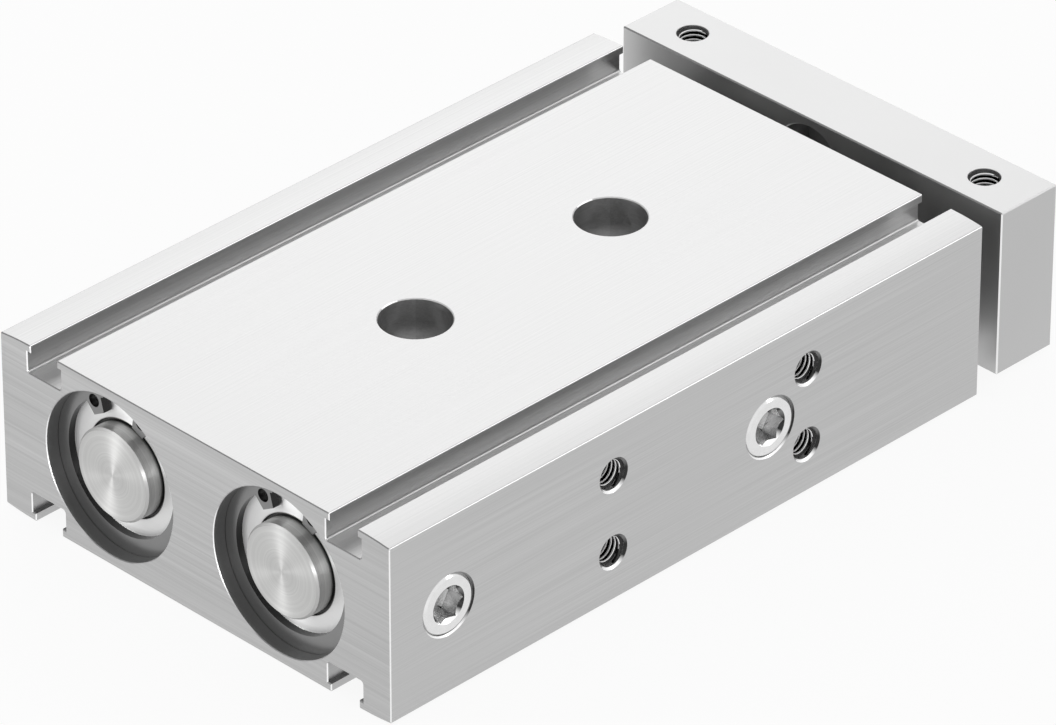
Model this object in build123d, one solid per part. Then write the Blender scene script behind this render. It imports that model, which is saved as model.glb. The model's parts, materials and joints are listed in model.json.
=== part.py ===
import os
from build123d import *

# Double piston cylinder, in millimetres.
# X runs across the width, Y along the stroke with the yoke plate in front (+Y), Z is up.
# The origin is the middle of the body's underside, and the rods are drawn in.

# Overall
stroke = 50.0
body_width = 80.0
body_height = 30.0
bore_radius = 12.5
rod_radius = 6.0
rod_spacing = 35.0

# Body extrusion
slot_past_bore = 0.8
slot_opening = 5.6
slot_inner_width = 7.1
slot_lip = 1.3
slot_depth = 4.75
slot_floor_round = 0.45
slot_lip_round = 0.25
crown_drop = 0.4
long_edge_round = 0.3
end_edge_bevel = 0.15

# Bore ends, alike at the rear and at the front
recess_step = 0.8
recess_bevel = 0.12
ring_setback = 2.3
ring_thickness = 1.2
ring_groove_depth = 0.5
ring_groove_play = 0.05

# Retaining rings
ring_fit = 0.05
ring_band = 2.3
ring_inner_offset = 0.45
ring_turn = 2.3
lug_angle = 26.5
lug_reach = 4.4
lug_tip_width = 2.3
lug_root_width = 4.0
lug_root_depth = 0.9
lug_hole_radius = 1.05
lug_hole_inset = 2.1
lug_gap = 5.9

# Air passages and their side ports
passage_radius = 2.0
port_radius = 4.86
port_floor = 2.0
port_rim = 0.24
plug_end_gap = 1.0
plug_fit = 0.03
plug_flat_radius = 4.4
socket_radius = 2.9
socket_rib_radius = 0.95
socket_rib_distance = 3.0
socket_round = 0.25
socket_mouth_radius = 3.1
socket_mouth_depth = 0.55
socket_depth = 3.0

# Mounting holes through the body, from the rear face
mount_from_rear = 44.2
mount_spacing = 40.0
mount_hole_radius = 3.3
mount_head_radius = 5.5
mount_head_depth = 6.8
mount_bevel = 0.15

# Tapped side holes of the body, over and under the middle of its height
side_thread_spread = 13.0
side_thread_floor = 2.0

# Threads and cap screws
small_thread_radius = 2.5
small_thread_rim = 0.35
yoke_thread_rim = 0.06
screw_edge_bevel = 0.5
rod_thread_radius = 3.0
rod_thread_depth = 14.0
thread_fit = 0.02
screw_head_radius = 5.0
screw_head_height = 6.0
screw_length = 16.0
screw_clear_radius = 3.3
screw_head_space = 5.5
screw_head_sink = 6.2
key_width = 5.0
key_depth = 3.0
drill_point_slope = 0.58

# Rear caps
cap_thickness = 5.9
cap_fit = 0.04
cap_boss_radius = 7.4
cap_boss_setback = 0.6
cap_boss_bevel = 0.35
cap_edge_bevel = 0.2
cap_foot_width = 0.5
cap_foot_depth = 0.5

# Round seals in the caps and glands
seal_groove_width = 2.4
seal_groove_depth = 1.4
seal_width = 1.9
seal_round = 0.35
cap_seal_middle = 3.3
gland_seal_middle = 3.7

# Bumpers
bumper_air_gap = 2.3
bumper_rod_gap = 0.7
bumper_seat_depth = 1.5
bumper_stand = 2.2
bumper_fit = 0.05
bumper_gap = 0.1
bumper_round = 0.4

# Pistons
head_length = 11.0
piston_play = 0.15
piston_shoulder_inset = 0.7
piston_land = 0.8
piston_bevel = 0.3
piston_groove_width = 2.6
piston_groove_play = 0.1
piston_seal_depth = 2.9
piston_seal_lip = 0.9
magnet_depth = 2.3
magnet_set_in = 0.25
wear_ring_depth = 1.3
running_play = 0.02
ring_slit = 0.6
rod_seat_depth = 3.0
rod_seat_play = 0.05

# Front glands
gland_collar = 5.9
gland_barrel = 33.4
gland_fit = 0.03
gland_rod_play = 0.15
nose_play = 0.3
nose_length = 2.0
nose_bevel = 0.3
bush_wall = 1.0
bush_length = 24.0
rod_seal_width = 3.6
rod_seal_height = 2.4
rod_seal_lip = 0.6
rod_seal_from_nose = 8.0
wiper_width = 2.4
wiper_height = 1.9
wiper_stand = 0.4

# Yoke plate
yoke_gap = 5.3
yoke_thickness = 12.0
yoke_side_inset = 1.0
yoke_top_inset = 1.0
yoke_bevel = 0.2
yoke_seat_depth = 1.5
yoke_thread_spacing = 60.0
yoke_thread_depth = 8.0
yoke_pocket_radius = 6.4
yoke_pocket_bevel = 0.2
yoke_pocket_depth = 7.0
yoke_pocket_rise = 6.1

rod_end_bevel = 0.5
overshoot = 1.0

# Places along Y
cap_depth = ring_setback + ring_thickness
passage_width = 2 * passage_radius
body_length = (2 * cap_depth + cap_thickness + 2 * passage_width + head_length + stroke
               + gland_barrel + gland_collar)
rear_face = -body_length / 2
front_face = body_length / 2
rear_chamber_end = rear_face + cap_depth + cap_thickness
rear_port = rear_chamber_end + passage_radius
front_port = rear_port + passage_width + head_length + stroke
front_chamber_end = front_port + passage_radius
gland_collar_rear = front_chamber_end + gland_barrel
gland_face = gland_collar_rear + gland_collar
nose_face = gland_face + nose_length
head_rear = rear_port + passage_radius
head_front = head_rear + head_length
shoulder_length = passage_width - bumper_stand - bumper_gap
piston_rear = head_rear - shoulder_length
piston_front = head_front + shoulder_length
yoke_rear = front_face + yoke_gap
yoke_front = yoke_rear + yoke_thickness

# Places and sizes across the body
axis_height = body_height / 2
half_width = body_width / 2
bore_places = {"left": -rod_spacing / 2, "right": rod_spacing / 2}
side_wall = half_width - rod_spacing / 2 - bore_radius
slot_centre = rod_spacing / 2 + bore_radius + slot_past_bore
port_depth = side_wall - port_floor
plug_length = port_depth - plug_end_gap
side_thread_depth = side_wall - side_thread_floor
recess_radius = bore_radius + recess_step
ring_groove_radius = recess_radius + ring_groove_depth
ring_inner_radius = recess_radius - ring_band
lug_inner_radius = recess_radius - lug_reach
lug_hole_distance = lug_inner_radius + lug_hole_inset
nose_radius = lug_inner_radius - nose_play
bumper_outer_radius = bore_radius - bumper_air_gap
bumper_inner_radius = rod_radius + bumper_rod_gap
piston_shoulder_radius = bumper_outer_radius - piston_shoulder_inset
yoke_width = body_width - 2 * yoke_side_inset
yoke_height = body_height - 2 * yoke_top_inset


def tube(rear, front, inner, outer):
    """Plain ring about the Y axis."""
    return turned((rear, inner), (rear, outer), (front, outer), (front, inner))


def turned(*profile):
    """Turn a closed profile, given as (place along Y, radius), about the Y axis."""
    outline = Polyline(list(profile), close=True)
    return revolve(Plane.YZ * make_face(outline), Axis.Y)


def drilled(radius, depth, rim=0.0, point=True):
    """Blind hole below Z 0 with a bevelled rim; its conical end is that of a drill."""
    tip = depth + radius * drill_point_slope if point else depth
    mouth = radius + rim + overshoot if rim else radius
    outline = Polyline(
        [(0, overshoot), (mouth, overshoot), (radius, -rim), (radius, -depth), (0, -tip)],
        close=True,
    )
    return revolve(Plane.XZ * make_face(outline), Axis.Z)


def facing(shape, place, outward):
    """Put a shape made about +Z at a place, with its +Z turned outward."""
    return Plane(origin=place, z_dir=outward) * shape


def save(shape, name):
    export_step(shape, f"parts/{name}.step")


def t_slot():
    """Section of the top right T-slot: a narrow mouth over a wider channel."""
    channel_height = slot_depth - slot_lip
    channel = Pos(slot_centre, body_height - slot_lip - channel_height / 2) * Rectangle(
        slot_inner_width, channel_height
    )
    channel = fillet(channel.vertices().group_by(Axis.Y)[0], slot_floor_round)
    mouth = Pos(slot_centre, body_height) * Rectangle(slot_opening, 2 * (slot_lip + slot_lip_round))
    return channel + mouth


def body_section():
    """Extruded section: crowned outer rails, flat middle and a T-slot near each corner."""
    rail_start = slot_centre + slot_opening / 2
    top = body_height
    middle = Line((0, 0), (0, top))
    upper_flat = Line((0, top), (rail_start, top))
    upper_rail = TangentArc((rail_start, top), (half_width, top - crown_drop), tangent=(1, 0))
    side = Line((half_width, top - crown_drop), (half_width, crown_drop))
    lower_rail = TangentArc((rail_start, 0), (half_width, crown_drop), tangent=(1, 0))
    lower_flat = Line((0, 0), (rail_start, 0))
    half = make_face(Curve() + [middle, upper_flat, upper_rail, side, lower_rail, lower_flat])
    half = fillet(half.vertices().group_by(Axis.X)[-1], long_edge_round)
    slot = t_slot()
    lower_slot = Pos(0, body_height) * mirror(slot, about=Plane.XZ)
    half = half - slot - lower_slot
    lips = half.vertices().filter_by(
        lambda corner: abs(abs(corner.X - slot_centre) - slot_opening / 2) < slot_lip_round
        and min(corner.Y, body_height - corner.Y) < slot_lip_round
    )
    half = fillet(lips, slot_lip_round)
    return half + mirror(half, about=Plane.YZ)


def bore_cut():
    """One through bore with a stepped recess and a ring groove at each end."""
    cut = tube(rear_face - overshoot, front_face + overshoot, 0, bore_radius)
    recess_depth = cap_depth + cap_thickness
    groove_half = ring_thickness / 2 + ring_groove_play
    groove_middle = ring_setback + ring_thickness / 2
    for face, inward in ((rear_face, 1), (front_face, -1)):
        mouth = face - inward * overshoot
        flare = recess_radius + recess_bevel + overshoot
        cut += turned(
            (mouth, 0),
            (mouth, flare),
            (face + inward * recess_bevel, recess_radius),
            (face + inward * recess_depth, recess_radius),
            (face + inward * recess_depth, 0),
        )
        middle = face + inward * groove_middle
        cut += tube(middle - groove_half, middle + groove_half, 0, ring_groove_radius)
    return cut


def make_body():
    section = body_section()
    start = Plane(origin=(0, rear_face, 0), x_dir=(1, 0, 0), z_dir=(0, -1, 0))
    body = extrude(start * section, amount=-body_length)
    end_edges = body.edges().group_by(Axis.Y)
    body = chamfer(end_edges[0] + end_edges[-1], end_edge_bevel)
    for place in bore_places.values():
        body -= Pos(place, 0, axis_height) * bore_cut()
    for along in (rear_port, front_port):
        passage = Cylinder(passage_radius, body_width - port_depth, rotation=(0, 90, 0))
        body -= Pos(0, along, axis_height) * passage
        for side in (-1, 1):
            port = drilled(port_radius, port_depth, port_rim, point=False)
            body -= facing(port, (side * half_width, along, axis_height), (side, 0, 0))
    for station in (0, mount_spacing):
        along = rear_face + mount_from_rear + station
        body -= Pos(0, along, axis_height) * Cylinder(mount_hole_radius, body_height + overshoot)
        head = drilled(mount_head_radius, mount_head_depth, mount_bevel, point=False)
        body -= facing(head, (0, along, body_height), (0, 0, 1))
        body -= facing(head, (0, along, 0), (0, 0, -1))
        thread = drilled(small_thread_radius, side_thread_depth, small_thread_rim)
        for side in (-1, 1):
            for level in (-1, 1):
                height = axis_height + level * side_thread_spread / 2
                body -= facing(thread, (side * half_width, along, height), (side, 0, 0))
    return body


def make_retaining_ring():
    """Flat spring ring, widest at the bottom, with two lugs and plier holes at the top."""
    band = Circle(ring_groove_radius - ring_fit) - Pos(0, ring_inner_offset) * Circle(ring_inner_radius)
    half_tip = lug_tip_width / 2
    half_root = lug_root_width / 2
    outline = Polyline(
        [(-half_tip, lug_inner_radius), (half_tip, lug_inner_radius),
         (half_root, recess_radius - lug_root_depth), (-half_root, recess_radius - lug_root_depth)],
        close=True,
    )
    lug = make_face(outline)
    hole = Pos(0, lug_hole_distance) * Circle(lug_hole_radius)
    gap_height = 2 * (ring_groove_radius - lug_inner_radius) + overshoot
    gap = Pos(0, ring_groove_radius) * Rectangle(lug_gap, gap_height)
    for angle in (-lug_angle, lug_angle):
        band += Rot(0, 0, angle) * lug
    band -= gap
    for angle in (-lug_angle, lug_angle):
        band -= Rot(0, 0, angle) * hole
    return extrude(Plane.XZ * Rot(0, 0, ring_turn) * band, amount=-ring_thickness)


def round_seal(middle, inner, outer):
    """Rubber ring pressed flat between its groove and the wall around it."""
    half = seal_width / 2
    return turned(
        (middle - half + seal_round, inner),
        (middle - half, inner + seal_round),
        (middle - half, outer - seal_round),
        (middle - half + seal_round, outer),
        (middle + half - seal_round, outer),
        (middle + half, outer - seal_round),
        (middle + half, inner + seal_round),
        (middle + half - seal_round, inner),
    )


def make_bumper(seat, inward):
    """Elastic ring that stands out of its seat towards the piston."""
    tip = seat + inward * (bumper_seat_depth + bumper_stand)
    return turned(
        (seat, bumper_inner_radius),
        (seat, bumper_outer_radius),
        (tip - inward * bumper_round, bumper_outer_radius),
        (tip, bumper_outer_radius - bumper_round),
        (tip, bumper_inner_radius + bumper_round),
        (tip - inward * bumper_round, bumper_inner_radius),
    )


def make_rear_cap():
    """Turned cap: sealed disc, bumper seat inside, boss with an undercut foot outside."""
    outer = recess_radius - cap_fit
    face = rear_face + cap_depth
    boss_face = rear_face + cap_boss_setback
    foot = cap_boss_radius + cap_foot_width
    groove_middle = face + cap_seal_middle
    seat_floor = rear_chamber_end - bumper_seat_depth
    seat_radius = bumper_outer_radius + bumper_fit
    cap = turned(
        (boss_face, 0),
        (boss_face, cap_boss_radius - cap_boss_bevel),
        (boss_face + cap_boss_bevel, cap_boss_radius),
        (face + cap_foot_depth, cap_boss_radius),
        (face + cap_foot_depth, foot),
        (face, foot),
        (face, outer - cap_edge_bevel),
        (face + cap_edge_bevel, outer),
        (rear_chamber_end, outer),
        (rear_chamber_end, seat_radius),
        (seat_floor, seat_radius),
        (seat_floor, 0),
    )
    groove_half = seal_groove_width / 2
    groove_floor = recess_radius - seal_groove_depth
    return cap - tube(groove_middle - groove_half, groove_middle + groove_half, groove_floor, outer + overshoot)


def piston_grooves():
    """Rear ends of the seal, magnet and wear ring grooves."""
    pitch = piston_groove_width + piston_land
    first = head_rear + (head_length - 2 * pitch - piston_groove_width) / 2
    return first, first + pitch, first + 2 * pitch


def make_piston():
    outer = bore_radius - piston_play
    seat_floor = piston_front - rod_seat_depth
    head_floor = piston_rear + screw_head_sink
    seat_radius = rod_radius + rod_seat_play
    piston = turned(
        (piston_rear, screw_head_space),
        (piston_rear, piston_shoulder_radius),
        (head_rear, piston_shoulder_radius),
        (head_rear, outer - piston_bevel),
        (head_rear + piston_bevel, outer),
        (head_front - piston_bevel, outer),
        (head_front, outer - piston_bevel),
        (head_front, piston_shoulder_radius),
        (piston_front, piston_shoulder_radius),
        (piston_front, seat_radius),
        (seat_floor, seat_radius),
        (seat_floor, screw_clear_radius),
        (head_floor, screw_clear_radius),
        (head_floor, screw_head_space),
    )
    for start, depth in zip(piston_grooves(), (piston_seal_depth, magnet_depth, wear_ring_depth)):
        piston -= tube(start, start + piston_groove_width, bore_radius - depth, outer + overshoot)
    return piston


def make_piston_seal():
    """Two-way lip seal: a rubber ring with a lip towards each chamber."""
    start = piston_grooves()[0] + piston_groove_play
    end = start + piston_groove_width - 2 * piston_groove_play
    middle = (start + end) / 2
    floor = bore_radius - piston_seal_depth
    lip = bore_radius - running_play
    waist = lip - piston_seal_lip
    return turned((start, floor), (start, lip), (middle, waist), (end, lip), (end, floor))


def slit_ring(start, inner, outer):
    """Groove ring, slit across so that it can be sprung over the piston."""
    ring = tube(
        start + piston_groove_play, start + piston_groove_width - piston_groove_play, inner, outer
    )
    slit = Pos(0, start + piston_groove_width / 2, (inner + outer) / 2) * Box(
        ring_slit, piston_groove_width, 2 * (outer - inner)
    )
    return ring - slit


def make_piston_magnet():
    start = piston_grooves()[1]
    return slit_ring(start, bore_radius - magnet_depth, bore_radius - piston_play - magnet_set_in)


def make_wear_ring():
    start = piston_grooves()[2]
    return slit_ring(start, bore_radius - wear_ring_depth, bore_radius - running_play)


def make_cap_screw(seat, towards):
    """Socket cap screw whose head rests at the seat; its shank runs the way it is told."""
    head_face = -screw_head_height
    bevel = screw_edge_bevel
    screw = turned(
        (head_face, 0),
        (head_face, screw_head_radius - bevel),
        (head_face + bevel, screw_head_radius),
        (0, screw_head_radius),
        (0, rod_thread_radius - thread_fit),
        (screw_length - bevel, rod_thread_radius - thread_fit),
        (screw_length, rod_thread_radius - thread_fit - bevel),
        (screw_length, 0),
    )
    key = Plane.XZ * RegularPolygon(key_width / 2, 6, major_radius=False)
    screw -= Pos(0, head_face, 0) * extrude(key, amount=-key_depth)
    return Pos(0, seat, 0) * (screw if towards > 0 else Rot(0, 0, 180) * screw)


def make_piston_rod():
    """Ground rod, tapped at both ends."""
    rear_end = piston_front - rod_seat_depth
    front_end = yoke_rear + yoke_seat_depth
    rod = turned(
        (rear_end, 0),
        (rear_end, rod_radius - rod_end_bevel),
        (rear_end + rod_end_bevel, rod_radius),
        (front_end - rod_end_bevel, rod_radius),
        (front_end, rod_radius - rod_end_bevel),
        (front_end, 0),
    )
    thread = drilled(rod_thread_radius, rod_thread_depth)
    rod -= facing(thread, (0, rear_end, 0), (0, -1, 0))
    return rod - facing(thread, (0, front_end, 0), (0, 1, 0))


def make_front_gland():
    """Collar against the ring, long barrel in the bore, nose around the rod."""
    collar = recess_radius - cap_fit
    barrel = bore_radius - gland_fit
    rod_hole = rod_radius + gland_rod_play
    bush_hole = rod_radius + bush_wall
    seat_radius = bumper_outer_radius + bumper_fit
    bush_start = front_chamber_end + bumper_seat_depth
    wiper_floor = nose_face - wiper_width
    gland = turned(
        (front_chamber_end, seat_radius),
        (front_chamber_end, barrel),
        (gland_collar_rear, barrel),
        (gland_collar_rear, collar),
        (gland_face, collar),
        (gland_face, nose_radius),
        (nose_face - nose_bevel, nose_radius),
        (nose_face, nose_radius - nose_bevel),
        (nose_face, rod_radius + wiper_height),
        (wiper_floor, rod_radius + wiper_height),
        (wiper_floor, rod_hole),
        (bush_start + bush_length, rod_hole),
        (bush_start + bush_length, bush_hole),
        (bush_start, bush_hole),
        (bush_start, seat_radius),
    )
    groove_middle = front_chamber_end + gland_seal_middle
    groove_half = seal_groove_width / 2
    groove_floor = bore_radius - seal_groove_depth
    gland -= tube(groove_middle - groove_half, groove_middle + groove_half, groove_floor, barrel + overshoot)
    seal_start = nose_face - rod_seal_from_nose
    return gland - tube(seal_start, seal_start + rod_seal_width, rod_hole - gland_rod_play,
                        rod_radius + rod_seal_height)


def make_rod_bush():
    start = front_chamber_end + bumper_seat_depth
    return tube(start, start + bush_length, rod_radius + running_play, rod_radius + bush_wall)


def make_rod_seal():
    """Lip seal: its open side faces the chamber."""
    start = nose_face - rod_seal_from_nose
    front = start + rod_seal_width
    inner = rod_radius + running_play
    outer = rod_radius + rod_seal_height
    middle = (inner + outer) / 2
    notch = rod_seal_width / 2
    return turned(
        (start, inner),
        (start, middle - rod_seal_lip),
        (start + notch, middle),
        (start, middle + rod_seal_lip),
        (start, outer),
        (front, outer),
        (front, inner),
    )


def make_rod_wiper():
    """Wiper ring with a lip that stands out of the nose."""
    start = nose_face - wiper_width
    inner = rod_radius + running_play
    outer = rod_radius + wiper_height
    return turned(
        (start, inner),
        (start, outer),
        (nose_face, outer),
        (nose_face, (inner + outer) / 2),
        (nose_face + wiper_stand, inner + wiper_stand / 2),
        (nose_face + wiper_stand, inner),
    )


def make_port_plug():
    """Flush plug about +Z, its face at Z 0, with a six-lobe socket and a wide mouth to it."""
    outer = port_radius - plug_fit
    bevel = outer - plug_flat_radius
    outline = Polyline(
        [(0, 0), (plug_flat_radius, 0), (outer, -bevel), (outer, bevel - plug_length),
         (plug_flat_radius, -plug_length), (0, -plug_length)],
        close=True,
    )
    plug = revolve(Plane.XZ * make_face(outline), Axis.Z)
    socket = Circle(socket_radius) - PolarLocations(socket_rib_distance, 6) * Circle(socket_rib_radius)
    socket = fillet(socket.vertices(), socket_round)
    rib_top_radius = socket_rib_distance - socket_rib_radius
    mouth = Pos(0, 0, -socket_mouth_depth / 2) * Cone(rib_top_radius, socket_mouth_radius, socket_mouth_depth)
    return plug - extrude(socket, amount=-socket_depth) - mouth


def make_yoke_plate():
    centre = (yoke_rear + yoke_front) / 2
    plate = Pos(0, centre, axis_height) * Box(yoke_width, yoke_thickness, yoke_height)
    plate = chamfer(plate.edges(), yoke_bevel)
    for place in bore_places.values():
        seat = drilled(rod_radius + rod_seat_play, yoke_seat_depth, point=False)
        plate -= facing(seat, (place, yoke_rear, axis_height), (0, -1, 0))
        head = drilled(screw_head_space, screw_head_sink, mount_bevel, point=False)
        plate -= facing(head, (place, yoke_front, axis_height), (0, 1, 0))
        shank = Cylinder(screw_clear_radius, yoke_thickness, rotation=(90, 0, 0))
        plate -= Pos(place, centre, axis_height) * shank
    pocket = drilled(yoke_pocket_radius, yoke_pocket_depth, yoke_pocket_bevel)
    plate -= facing(pocket, (0, yoke_rear, axis_height + yoke_pocket_rise), (0, -1, 0))
    thread = drilled(small_thread_radius, yoke_thread_depth, yoke_thread_rim)
    yoke_top = axis_height + yoke_height / 2
    for place in (-yoke_thread_spacing / 2, yoke_thread_spacing / 2):
        plate -= facing(thread, (place, centre, yoke_top), (0, 0, 1))
        plate -= facing(thread, (place, yoke_front, axis_height), (0, 1, 0))
    return plate


ring_shape = make_retaining_ring()
cap_shape = make_rear_cap()
cap_groove = recess_radius - seal_groove_depth
gland_groove = bore_radius - seal_groove_depth

pieces = {
    "rear_cap": cap_shape,
    "rear_cap_seal": round_seal(rear_face + cap_depth + cap_seal_middle, cap_groove, recess_radius),
    "rear_ring": Pos(0, rear_face + ring_setback, 0) * ring_shape,
    "rear_bumper": make_bumper(rear_chamber_end - bumper_seat_depth, 1),
    "piston": make_piston(),
    "piston_seal": make_piston_seal(),
    "piston_magnet": make_piston_magnet(),
    "wear_ring": make_wear_ring(),
    "piston_screw": make_cap_screw(piston_rear + screw_head_sink, 1),
    "piston_rod": make_piston_rod(),
    "front_gland": make_front_gland(),
    "gland_seal": round_seal(front_chamber_end + gland_seal_middle, gland_groove, bore_radius),
    "rod_bush": make_rod_bush(),
    "rod_seal": make_rod_seal(),
    "rod_wiper": make_rod_wiper(),
    "front_bumper": make_bumper(front_chamber_end + bumper_seat_depth, -1),
    "front_ring": Pos(0, front_face - cap_depth, 0) * ring_shape,
    "yoke_screw": make_cap_screw(yoke_front - screw_head_sink, -1),
}

os.makedirs("parts", exist_ok=True)
save(make_body(), "body")
save(make_yoke_plate(), "yoke_plate")
for end, along in (("rear", rear_port), ("front", front_port)):
    save(facing(make_port_plug(), (half_width, along, axis_height), (1, 0, 0)), f"port_plug_{end}")
for name, shape in pieces.items():
    for side, place in bore_places.items():
        save(Pos(place, 0, axis_height) * shape, f"{name}_{side}")
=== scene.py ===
# Double piston cylinder: metal finishes, threads, fine edges, studio and camera
import bpy
import bmesh
import json
from math import cos, pi, radians, sin
from mathutils import Matrix, Vector


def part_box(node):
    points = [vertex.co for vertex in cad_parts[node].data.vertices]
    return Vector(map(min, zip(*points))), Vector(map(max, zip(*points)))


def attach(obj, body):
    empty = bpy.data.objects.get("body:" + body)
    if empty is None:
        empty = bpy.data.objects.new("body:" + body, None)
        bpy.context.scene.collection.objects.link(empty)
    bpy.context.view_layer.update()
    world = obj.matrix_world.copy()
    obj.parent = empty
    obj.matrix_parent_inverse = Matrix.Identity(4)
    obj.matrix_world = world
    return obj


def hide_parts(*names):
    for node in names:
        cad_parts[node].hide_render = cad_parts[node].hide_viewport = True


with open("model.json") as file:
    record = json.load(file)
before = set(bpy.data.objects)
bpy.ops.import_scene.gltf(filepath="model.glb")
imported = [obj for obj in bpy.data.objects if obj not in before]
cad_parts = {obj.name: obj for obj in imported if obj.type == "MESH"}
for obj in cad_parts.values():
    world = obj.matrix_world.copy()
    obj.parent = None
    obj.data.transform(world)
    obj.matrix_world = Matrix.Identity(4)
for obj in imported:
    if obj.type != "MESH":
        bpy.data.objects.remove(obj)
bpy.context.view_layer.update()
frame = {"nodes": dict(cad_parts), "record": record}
nodes = frame["nodes"]
mm = 0.001
sides = ("left", "right")
print("frame loaded:", len(nodes), "nodes")

# places that the finishes and the added pieces are set by
bodyLow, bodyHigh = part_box("body")
yokeLow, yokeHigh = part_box("yoke_plate")
capLow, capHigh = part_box("rear_cap_right")
boreX = (capLow.x + capHigh.x) / 2  # right bore, the left one mirrors it
axisZ = (bodyLow.z + bodyHigh.z) / 2
mounts = {mount["name"]: mount for mount in frame["record"]["mounts"]}

slant = 0.707  # share that each of two directions has in a surface leaning 45 degrees between them
noiseSpan = {"From Min": 0.3, "From Max": 0.7}  # nearly all that a noise texture gives lies between these
white = (1, 1, 1, 1)


def linear(hexColour):
    values = [int(hexColour[i:i + 2], 16) / 255 for i in (1, 3, 5)]
    return tuple(v / 12.92 if v <= 0.04045 else ((v + 0.055) / 1.055) ** 2.4 for v in values) + (1.0,)


def addNode(tree, kind, inputs=None, **settings):
    # each input is a value to set on its socket, or another node's output to link to it
    node = tree.nodes.new(kind)
    for name, value in settings.items():
        setattr(node, name, value)
    for socket, value in (inputs or {}).items():
        if isinstance(value, bpy.types.NodeSocket):
            tree.links.new(value, node.inputs[socket])
        else:
            node.inputs[socket].default_value = value
    return node


def newMaterial(name):
    material = bpy.data.materials.new(name)
    material.use_nodes = True
    material.node_tree.nodes.clear()
    return material, material.node_tree


def finishMaterial(tree, shader):
    addNode(tree, "ShaderNodeOutputMaterial", {"Surface": shader.outputs["BSDF"]})


# painted light on edge breaks: upright is a painted highlight, level a painted dark line
edgeBreakPaintedLight = {
    "upright": "#F6F6F6", "level": "#767676", "share": 0.9,
    "band": 0.25,  # mm in from the piece's box
    "lean": {"From Min": 0.95, "From Max": 0.98},  # how squarely a face must look out over the edge
}


def addPaintedEdgeLight(tree, place, tint, low, high, count):
    # edge breaks with painted light: the upright ones get a painted highlight, the level ones a painted dark line that
    # stands in for the shade they would mirror.
    # count says which of the box's three directions a point must be at the end of
    reach = (high - low) / 2 - Vector((1, 1, 1)) * edgeBreakPaintedLight["band"] * mm
    middle = addNode(tree, "ShaderNodeVectorMath", {0: place["Object"], 1: (low + high) / 2}, operation="SUBTRACT")
    away = addNode(tree, "ShaderNodeVectorMath", {0: middle.outputs[0]}, operation="ABSOLUTE")
    past = addNode(tree, "ShaderNodeVectorMath", {0: away.outputs[0], 1: reach}, operation="SUBTRACT")
    ends = addNode(tree, "ShaderNodeVectorMath", {0: past.outputs[0]}, operation="SIGN")
    total = addNode(tree, "ShaderNodeVectorMath", {0: ends.outputs[0], 1: count}, operation="DOT_PRODUCT")
    atEdge = addNode(tree, "ShaderNodeMath", {0: total.outputs["Value"], 1: 0.5}, operation="GREATER_THAN")
    facing = addNode(tree, "ShaderNodeVectorMath", {0: place["Normal"]}, operation="ABSOLUTE")
    for kind, way in (("upright", (slant, slant, 0)), ("level", (0, slant, slant))):
        along = addNode(tree, "ShaderNodeVectorMath", {0: facing.outputs[0], 1: way}, operation="DOT_PRODUCT")
        here = addNode(tree, "ShaderNodeMapRange", edgeBreakPaintedLight["lean"] | {"Value": along.outputs["Value"],
                       "To Max": edgeBreakPaintedLight["share"]})
        cut = addNode(tree, "ShaderNodeMath", {0: here.outputs[0], 1: atEdge.outputs[0]}, operation="MULTIPLY")
        tint = addNode(tree, "ShaderNodeMix", {0: cut.outputs[0], 6: tint.outputs[2], 7: linear(edgeBreakPaintedLight[kind])},
                       data_type="RGBA")
    return tint


# painted shade in hollows: reach in mm, open as what is dark and what is clear, share as how much of the dark shows at
# most
paintedCreviceShade = {
    "dark": "#141414",
    "socket": {"reach": 2.2, "open": (0.25, 0.85), "share": 0.85},
    "thread": {"reach": 0.8, "open": (0.5, 0.85), "share": 0.97},
    "foot": {"reach": 0.8, "open": (0.45, 0.85), "share": 0.9},
    "pocket": {"reach": 5.0, "open": (0.3, 0.8), "share": 0.92},
}


def addPaintedCreviceShade(tree, tint, kind):
    # painted shade deep in small holes, sockets and pockets and between thread flanks, wherever ambient occlusion finds
    # a hollow
    look = paintedCreviceShade[kind]
    near = addNode(tree, "ShaderNodeAmbientOcclusion", {"Distance": look["reach"] * mm}, samples=16, only_local=True)
    deep = addNode(tree, "ShaderNodeMapRange", {"Value": near.outputs["AO"], "From Min": look["open"][0],
                   "From Max": look["open"][1], "To Min": look["share"], "To Max": 0.0})
    return addNode(tree, "ShaderNodeMix", {0: deep.outputs[0], 6: tint.outputs[2], 7: linear(paintedCreviceShade["dark"])},
                   data_type="RGBA")


# painted light on cut edges: bright is a painted highlight, the shaded side painted shade
rimCutPaintedLight = {
    "bright": "#FFFFFF", "shadedSide": "#343434", "grey": "#8C8C8C",
    "brightSide": (0, 0.2, 0.98),
    "brightFrom": {"From Min": 0.28, "From Max": 0.55},  # share of a face's direction that is the bright side's
    "greyFrom": {"From Min": -0.2, "From Max": -0.6},
    "lean": 0.1,  # how far from 45 degrees a cut may lean
}


def addPaintedCutLight(tree, place):
    # painted light by facing: a painted highlight where cut edges face up, painted shade beside that and plain grey
    # opposite
    along = addNode(tree, "ShaderNodeVectorMath", {0: place["Normal"], 1: rimCutPaintedLight["brightSide"]},
                    operation="DOT_PRODUCT")
    bright = addNode(tree, "ShaderNodeMapRange", rimCutPaintedLight["brightFrom"] | {"Value": along.outputs["Value"]})
    grey = addNode(tree, "ShaderNodeMapRange", rimCutPaintedLight["greyFrom"] | {"Value": along.outputs["Value"]})
    cut = addNode(tree, "ShaderNodeMix", {0: bright.outputs[0], 6: linear(rimCutPaintedLight["shadedSide"]),
                  7: linear(rimCutPaintedLight["bright"])}, data_type="RGBA")
    return addNode(tree, "ShaderNodeMix", {0: grey.outputs[0], 6: cut.outputs[2], 7: linear(rimCutPaintedLight["grey"])},
                   data_type="RGBA")


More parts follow.
